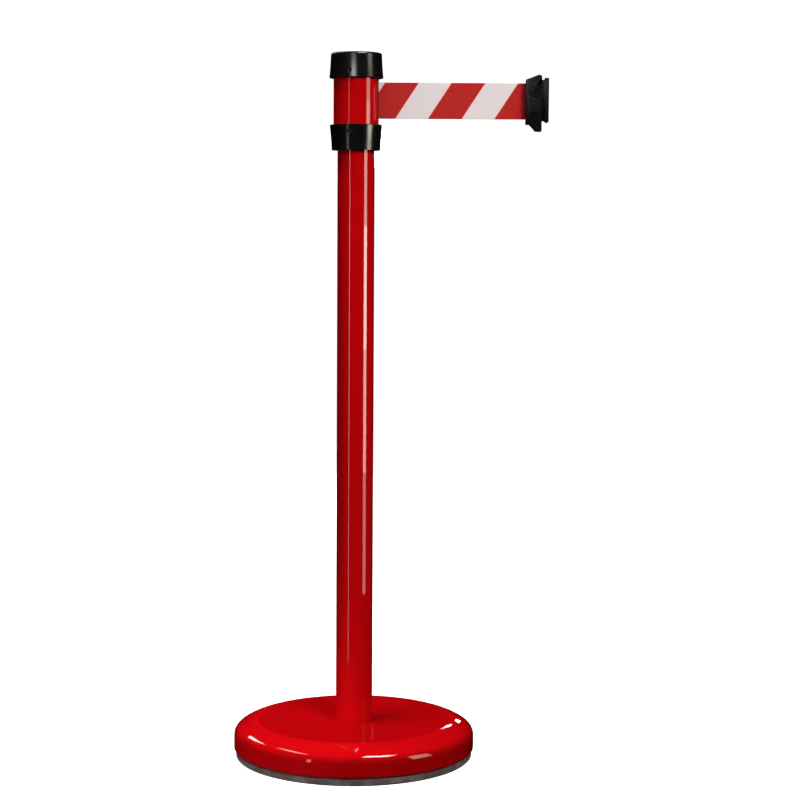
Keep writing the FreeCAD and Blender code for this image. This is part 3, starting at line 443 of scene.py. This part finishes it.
def belt_line(step):
    """Points of the belt's middle line seen from above, from the roll round the guide pin to the clip."""
    spans = 8
    off_the_roll = 0.3 * MM
    pin_radius = (PIN_HIGH.x - PIN_LOW.x) / 2
    pin = Vector((PIN_HIGH.x - pin_radius, PIN_LOW.y + pin_radius))
    bend = -pin.y
    roll = ROLL_HIGH.x + off_the_roll
    tilt = math.atan2(pin.y, pin.x) - math.acos((roll + bend) / pin.length)
    outward = Vector((math.cos(tilt), math.sin(tilt)))
    off_roll = outward * roll
    on_pin = pin - outward * bend
    start_angle = tilt + math.pi
    end_angle = math.pi / 2
    points = [off_roll.lerp(on_pin, number / spans) for number in range(spans)]
    for number in range(spans + 1):
        angle = start_angle + (end_angle - start_angle) * number / spans
        points.append(pin + Vector((math.cos(angle), math.sin(angle))) * bend)
    start = points[-1].x
    count = max(2, round((BELT_HIGH.x - start) / step))
    for number in range(1, count + 1):
        points.append(Vector((start + (BELT_HIGH.x - start) * number / count, 0.0)))
    return points


def strip_half_thickness(thickness, from_edge, selvedge):
    """Half the strip's thickness at a distance from its edge: thin at the edge, fullest in the selvedge."""
    if from_edge < 0.001 * MM:
        return thickness / 2 * 0.25
    if from_edge > selvedge * 0.9:
        return thickness / 2 * 0.85
    return thickness / 2


def belt_ripple(along, up):
    """How far the free belt stands out of its plane: a slight wave that dies out towards both of its ends."""
    depth = 0.25 * MM
    free_from, free_to, fade = 0.045, 0.225, 0.04
    wave = depth * math.sin((along - 0.03) * 31.0 + up * 22.0)
    return wave * max(0.0, min(1.0, (along - free_from) / fade, (free_to - along) / fade))


def belt_strip(points, thickness, low, high, columns):
    """A thin woven strip on edge along the points, with a slightly thicker selvedge."""
    work = bmesh.new()
    selvedge = 1.6 * MM
    edge_row = 0.5 * MM
    inner = columns - 6
    heights = [low, low + edge_row, low + selvedge]
    heights += [low + selvedge + (high - low - 2 * selvedge) * number / inner for number in range(1, inner)]
    heights += [high - selvedge, high - edge_row, high]
    sides = []
    for side in (-1, 1):
        rows = []
        for index, point in enumerate(points):
            before = points[max(index - 1, 0)]
            after = points[min(index + 1, len(points) - 1)]
            way = (after - before).normalized()
            normal = Vector((-way.y, way.x))
            row = []
            for height in heights:
                half = strip_half_thickness(thickness, min(height - low, high - height), selvedge)
                spot = point + normal * (side * half)
                row.append(work.verts.new((spot.x, spot.y + belt_ripple(point.x, height - low), height)))
            rows.append(row)
        sides.append(rows)
    last = len(points) - 1
    top = len(heights) - 1

    def add_faces(corners, firsts, seconds, flipped):
        for first in firsts:
            for second in seconds:
                face = corners(first, second)
                work.faces.new(reversed(face) if flipped else face)

    for side, flipped in ((0, False), (1, True)):
        add_faces(lambda index, level: [
            sides[side][index][level], sides[side][index + 1][level],
            sides[side][index + 1][level + 1], sides[side][index][level + 1],
        ], range(last), range(top), flipped)
    for level, flipped in ((0, True), (top, False)):
        add_faces(lambda index, _: [
            sides[0][index][level], sides[0][index + 1][level],
            sides[1][index + 1][level], sides[1][index][level],
        ], range(last), range(1), flipped)
    for index, flipped in ((0, False), (last, True)):
        add_faces(lambda _, level: [
            sides[0][index][level], sides[0][index][level + 1],
            sides[1][index][level + 1], sides[1][index][level],
        ], range(1), range(top), flipped)
    bmesh.ops.recalc_face_normals(work, faces=work.faces)
    return work


def run_length(points):
    """Length of a line through points."""
    return sum((after - before).length for before, after in zip(points, points[1:]))


# ------------------------------------------------------------------ settings

class StanchionLacquer(bpy.types.PropertyGroup):
    """Painted metalwork."""
    tint: FloatVectorProperty(
        name="Paint", description="Colour of the post, head and base", subtype="COLOR", size=3,
        default=(0.50, 0.0015, 0.0035), min=0.0, max=1.0,
    )
    orange_peel: FloatProperty(
        name="Orange peel", description="Depth of the ripple in the paint", default=0.03, min=0.0, max=1.0,
    )


class StanchionMouldings(bpy.types.PropertyGroup):
    """Black plastic of the cups and the clip."""
    cup_tint: FloatVectorProperty(
        name="Cups", description="Colour of the cap and collar", subtype="COLOR", size=3,
        default=(0.0030, 0.0030, 0.0034), min=0.0, max=1.0,
    )
    clip_tint: FloatVectorProperty(
        name="Clip", description="Colour of the belt clip", subtype="COLOR", size=3,
        default=(0.0022, 0.0020, 0.0021), min=0.0, max=1.0,
    )
    edge_radius: FloatProperty(
        name="Edge radius", description="Rounding of the clip's moulded edges", default=0.3 * MM,
        min=0.05 * MM, max=1.0 * MM, unit="LENGTH", precision=5,
    )


class StanchionBelt(bpy.types.PropertyGroup):
    """The woven belt and its printed bands."""
    red: FloatVectorProperty(
        name="Red", description="Colour of the red bands", subtype="COLOR", size=3,
        default=colour(189, 24, 19)[:3], min=0.0, max=1.0,
    )
    white: FloatVectorProperty(
        name="White", description="Colour of the white bands", subtype="COLOR", size=3,
        default=colour(229, 218, 217)[:3], min=0.0, max=1.0,
    )
    bleed: FloatVectorProperty(
        name="Bleed", description="Colour of the thin line where red ink runs into a white band",
        subtype="COLOR", size=3, default=colour(250, 186, 180)[:3], min=0.0, max=1.0,
    )
    period: FloatProperty(
        name="Band period", description="Length of one red and one white band along the belt",
        default=92.4 * MM, min=10 * MM, max=1.0, unit="LENGTH", precision=4,
    )
    start: FloatProperty(
        name="Band start", description="Where a white band starts on the belt's lower edge",
        default=53.7 * MM, unit="LENGTH", precision=4,
    )
    lean: FloatProperty(
        name="Band lean", description="How far a band moves along the belt for each unit of height",
        default=0.657,
    )
    rib_pitch: FloatProperty(
        name="Rib pitch", description="Distance between lengthwise ribs", default=1.1 * MM,
        min=0.2 * MM, max=5 * MM, unit="LENGTH", precision=5,
    )
    thread_pitch: FloatProperty(
        name="Thread pitch", description="Distance between cross threads", default=0.9 * MM,
        min=0.2 * MM, max=5 * MM, unit="LENGTH", precision=5,
    )
    thickness: FloatProperty(
        name="Thickness", description="Thickness of the woven belt", default=0.5 * MM,
        min=0.1 * MM, max=2 * MM, unit="LENGTH", precision=5,
    )
    columns: IntProperty(
        name="Columns", description="Mesh rows over the belt's width", default=34, min=10, max=200,
    )


class StanchionStage(bpy.types.PropertyGroup):
    """Floor, lights and camera."""
    lens: FloatProperty(name="Lens", description="Focal length on a 36 mm sensor", default=90.3, min=10.0)
    distance: FloatProperty(
        name="Distance", description="Camera's distance in front of the post", default=2.817,
        min=0.5, unit="LENGTH",
    )
    height: FloatProperty(
        name="Height", description="Camera's height above the floor", default=0.763, min=0.0, unit="LENGTH",
    )
    aside: FloatProperty(
        name="Aside", description="Camera's place to the right of the post", default=0.0632, unit="LENGTH",
    )
    pitch: FloatProperty(
        name="Pitch", description="How far the camera looks down", default=math.radians(5.15),
        unit="ROTATION",
    )
    roll: FloatProperty(
        name="Roll", description="How far the camera leans", default=math.radians(0.34), unit="ROTATION",
    )


# ------------------------------------------------------------------ operators

class STANCHION_OT_base(bpy.types.Operator):
    """Finish the base: cover, weight and rubber tray"""
    bl_idname = "stanchion.base"
    bl_label = "Base"

    def execute(self, context):
        lacquer = context.scene.stanchion_lacquer
        tint = tuple(lacquer.tint) + (1.0,)
        crown = scaled(tint, 0.76)
        dress(["base_cover"], cover_lacquer(crown, lacquer.orange_peel * 0.5))
        dress(["floor_tray"], matt_rubber())
        dress(["base_weight"], sand_cast_iron())
        return {"FINISHED"}


class STANCHION_OT_post(bpy.types.Operator):
    """Finish the post and head tubes"""
    bl_idname = "stanchion.post"
    bl_label = "Post"

    def execute(self, context):
        lacquer = context.scene.stanchion_lacquer
        tint = tuple(lacquer.tint) + (1.0,)
        dress(["post_tube", "head_tube"], red_lacquer("tube_lacquer", tint, lacquer.orange_peel))
        return {"FINISHED"}


class STANCHION_OT_cups(bpy.types.Operator):
    """Finish the flared cap and collar and the slot liner"""
    bl_idname = "stanchion.cups"
    bl_label = "Cap and collar"

    def execute(self, context):
        mouldings = context.scene.stanchion_mouldings
        tint = tuple(mouldings.cup_tint) + (1.0,)
        dress(["head_cap", "lower_collar"], moulded_black("cup_plastic", tint, roughness=0.13, grain=0.05))
        dress(["slot_liner"], moulded_black("liner_plastic", tint, roughness=0.35, grain=0.15))
        return {"FINISHED"}


class STANCHION_OT_cassette(bpy.types.Operator):
    """Finish the belt cassette and the other hidden pieces"""
    bl_idname = "stanchion.cassette"
    bl_label = "Cassette"

    def execute(self, context):
        zinc = plated_steel("zinc_plate", colour(196, 198, 202), 0.15)
        dress([
            "tie_bolt", "tie_washer", "tie_spring_washer", "foot_plug", "cassette_base_plate",
            "cassette_top_plate", "cassette_pillars", "guide_pins", "belt_anchor_pin",
            "spring_barrel", "barrel_lid", "barrel_rivets", "belt_bar", "spindle",
        ], zinc)
        dress(
            ["cap_screws", "collar_screws", "pillar_screws", "clip_screws"],
            plated_steel("blackened_screws", colour(44, 44, 46), 0.1),
        )
        dress(["power_spring", "spindle_ring"], plated_steel("blued_spring_steel", colour(70, 78, 98), 0.2))
        white_nylon = moulded_nylon("white_nylon", colour(222, 220, 210))
        dress(["drum_core", "drum_top_flange", "thrust_washers"], white_nylon)
        dress(["post_adapter", "top_ring"], moulded_nylon("grey_nylon", colour(96, 97, 100)))
        dress(["drum_bushes"], sintered_bronze())
        return {"FINISHED"}


class BeltStripes:
    """Colours and spacing of the belt's bands, as the belt's finish uses them."""

    def __init__(self, settings):
        self.period = settings.period
        self.start = settings.start
        self.lean = settings.lean
        self.rib_pitch = settings.rib_pitch
        self.thread_pitch = settings.thread_pitch
        self.red = tuple(settings.red) + (1.0,)
        self.white = tuple(settings.white) + (1.0,)
        self.red_dark = scaled(self.red, 0.72)
        self.white_dark = scaled(self.white, 0.86)
        self.slub = scaled(self.white, 0.80)
        self.bleed = tuple(settings.bleed) + (1.0,)


class STANCHION_OT_belt(bpy.types.Operator):
    """Weave the belt from the roll to the clip"""
    bl_idname = "stanchion.belt"
    bl_label = "Belt"

    def execute(self, context):
        settings = context.scene.stanchion_belt
        weave = belt_weave(BeltStripes(settings))
        dress(["belt_wound"], weave)
        points = belt_line(3.0 * MM)
        strip = belt_strip(points, settings.thickness, BELT_LOW.z, BELT_HIGH.z, settings.columns)
        belt = piece_from(strip, "belt_strip", weave)
        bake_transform(belt)
        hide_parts("belt_free")
        width = BELT_HIGH.z - BELT_LOW.z
        flat = (width, run_length(points))
        return {"FINISHED"}


class STANCHION_OT_clip(bpy.types.Operator):
    """Round the edges of the belt clip's two halves"""
    bl_idname = "stanchion.clip"
    bl_label = "Clip"

    def execute(self, context):
        mouldings = context.scene.stanchion_mouldings
        tint = tuple(mouldings.clip_tint) + (1.0,)
        plastic = moulded_black("clip_plastic", tint, roughness=0.30, grain=0.2, gloss=0.18)
        bevel_steps = 3
        for side in ("front", "rear"):
            node = f"clip_{side}_half"
            half = rounded_copy(node, f"clip_{side}_shell", plastic, mouldings.edge_radius, bevel_steps)
            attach(half, "belt_end")
            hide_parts(node)
        return {"FINISHED"}


def studio_light(name, place, aim, width, height, watts, tint, turn, spread):
    """A rectangular light that faces a point and stays out of view.

    turn rolls it about its own axis. A spread under OPEN_SPREAD narrows the beam, as a grid does, and
    keeps its brightness straight ahead.
    """
    data = bpy.data.lights.new(name, "AREA")
    data.shape = "RECTANGLE"
    data.size = width
    data.size_y = height
    reach = math.radians(spread) / 2
    if spread < OPEN_SPREAD:
        watts *= (math.tan(reach) - reach) / math.tan(reach)
    data.energy = watts
    data.spread = 2 * reach
    data.color = tint
    item = bpy.data.objects.new(name, data)
    item.location = place
    facing = (Vector(aim) - Vector(place)).to_track_quat("-Z", "Y")
    item.rotation_euler = (facing.to_matrix() @ Matrix.Rotation(turn, 3, "Z")).to_euler()
    item.visible_camera = False
    bpy.context.scene.collection.objects.link(item)
    return item


def soft_light(name, place, aim, width, height, watts, spread=OPEN_SPREAD):
    """A diffuse light that shapes colour and never shows as a reflection."""
    light = studio_light(name, place, aim, width, height, watts, WHITE[:3], 0.0, spread)
    light.visible_glossy = False


def card_light(name, place, aim, width, height, glow, tint=WHITE[:3], turn=0.0, spread=OPEN_SPREAD):
    """A card or gridded box that only shows in glossy finishes; glow is its brightness straight ahead."""
    watts = glow * math.pi * width * height
    light = studio_light(name, place, aim, width, height, watts, tint, turn, spread)
    light.visible_diffuse = False


def sweep_sheet(material):
    """Seamless paper: a floor that curves up into a far wall behind the object."""
    work = bmesh.new()
    half_width = 9.0
    near, bend_start, bend, wall_top = -6.0, 5.0, 2.5, 8.0
    steps = 16
    outline = [(near, 0.0), (bend_start, 0.0)]
    for number in range(1, steps + 1):
        angle = math.pi / 2 * number / steps
        outline.append((bend_start + bend * math.sin(angle), bend - bend * math.cos(angle)))
    outline.append((bend_start + bend, wall_top))
    rows = [[work.verts.new((side * half_width, y, z)) for side in (-1, 1)] for y, z in outline]
    for first, second in zip(rows, rows[1:]):
        work.faces.new([first[0], first[1], second[1], second[0]])
    return piece_from(work, "paper_sweep", material)


class STANCHION_OT_stage(bpy.types.Operator):
    """Lay the pale floor, set the soft lights and aim the camera"""
    bl_idname = "stanchion.stage"
    bl_label = "Stage"

    def execute(self, context):
        scene = context.scene
        stage = scene.stanchion_stage
        sweep = sweep_sheet(stage_paper())
        sweep.visible_glossy = False
        sweep.visible_diffuse = False
        world = bpy.data.worlds.new("soft_room")
        world.use_nodes = True
        background = world.node_tree.nodes["Background"]
        background.inputs["Color"].default_value = WHITE
        background.inputs["Strength"].default_value = PAPER_GLOW
        world.cycles_visibility.diffuse = False
        world.cycles_visibility.glossy = False
        scene.world = world
        self.add_fills()
        self.add_mirrored()
        camera = bpy.data.objects.new("camera", bpy.data.cameras.new("camera"))
        camera.data.lens = stage.lens
        camera.data.sensor_width = SENSOR_WIDTH
        camera.location = (stage.aside, -stage.distance, stage.height)
        level = Euler((math.pi / 2 - stage.pitch, 0.0, 0.0)).to_matrix()
        camera.rotation_euler = (level @ Matrix.Rotation(stage.roll, 3, "Z")).to_euler()
        scene.collection.objects.link(camera)
        scene.camera = camera
        scene.view_settings.view_transform = "Standard"
        return {"FINISHED"}

    def add_fills(self):
        """Broad soft lights that shape the object without showing in its gloss."""
        middle = (0.0, 0.0, 0.5)
        soft_light("key_fill", (1.6, -2.6, 2.1), middle, 1.2, 1.2, 108.0)
        soft_light("left_fill", (-1.9, -1.1, 0.8), middle, 1.2, 1.2, 8.0)
        soft_light("top_fill", (-0.9, -0.3, 4.4), (0.0, 0.0, 0.0), 1.6, 1.6, 152.0)
        soft_light("base_fill", (-1.6, -0.8, 0.30), (-0.09, -0.05, 0.02), 0.3, 0.15, 24.0, spread=20.0)
        soft_light("rear_fill", (-0.9, 2.8, 1.1), middle, 1.6, 1.6, 42.0)

    def add_mirrored(self):
        """Cards whose shapes show as streaks and crescents in the lacquer and the plastic."""
        self.add_right_strip()
        card_light("left_strip", (-0.52, -0.69, 0.50), (0.0, 0.0, 0.50), 0.055, 1.10, 6.2, spread=46.0)
        card_light("overhead_left", (-1.6, 1.4, 2.0), (-1.6, 1.4, 0.0), 0.20, 3.8, 9.0, turn=0.25)
        card_light("overhead_front", (0.8, -0.95, 2.5), (0.8, -0.95, 0.0), 1.0, 0.8, 22.0)
        base = (0.1, 0.0, 0.05)
        card_light("rear_glint", (0.32, 4.5, 1.50), base, 0.7, 0.15, 22.0)
        card_light("rear_star", (0.88, 4.5, 1.05), base, 0.26, 0.20, 50.0)
        cap = (0.0, 0.0, 0.98)
        widest = 1.5
        for share in (0.3, 0.6, 1.0):
            card_light(f"cap_glow_{share}", (-0.5, -2.5, 1.80), cap, widest * share, 0.7, 15.0, spread=28.0)

    def add_right_strip(self):
        """A tall warm strip box to the right, in rungs from the floor up, brightest in the middle."""
        warm = (1.0, 0.92, 0.80)
        rung, lowest = 0.24, 0.03
        for number, glow in enumerate((5.0, 11.0, 18.0, 8.0, 5.2)):
            level = lowest + rung * (number + 0.5)
            place, aim = (0.99, -0.50, level), (0.0, 0.0, level)
            card_light(f"right_strip_{number}", place, aim, 0.40, rung, glow, warm, spread=70.0)


class STANCHION_PT_panel(bpy.types.Panel):
    """The stanchion's settings and build buttons."""
    bl_label = "Belt stanchion"
    bl_idname = "STANCHION_PT_panel"
    bl_space_type = "VIEW_3D"
    bl_region_type = "UI"
    bl_category = "Stanchion"

    def draw(self, context):
        layout = self.layout
        for group in GROUPS:
            box = layout.box()
            settings = getattr(context.scene, GROUPS[group])
            for name in group.__annotations__:
                box.prop(settings, name)
        for operator in OPERATORS:
            layout.operator(operator.bl_idname)


GROUPS = {
    StanchionLacquer: "stanchion_lacquer",
    StanchionMouldings: "stanchion_mouldings",
    StanchionBelt: "stanchion_belt",
    StanchionStage: "stanchion_stage",
}
OPERATORS = (
    STANCHION_OT_base,
    STANCHION_OT_post,
    STANCHION_OT_cups,
    STANCHION_OT_cassette,
    STANCHION_OT_belt,
    STANCHION_OT_clip,
    STANCHION_OT_stage,
)


def register():
    for group, name in GROUPS.items():
        bpy.utils.register_class(group)
        setattr(bpy.types.Scene, name, PointerProperty(type=group))
    for item in (*OPERATORS, STANCHION_PT_panel):
        bpy.utils.register_class(item)


def unregister():
    for item in reversed((*OPERATORS, STANCHION_PT_panel)):
        bpy.utils.unregister_class(item)
    for group, name in GROUPS.items():
        delattr(bpy.types.Scene, name)
        bpy.utils.unregister_class(group)


def main():
    """Build everything in order."""
    register()
    for name in ("stage", "base", "post", "cups", "cassette", "belt", "clip"):
        getattr(bpy.ops.stanchion, name)()


if __name__ == "__main__":
    main()
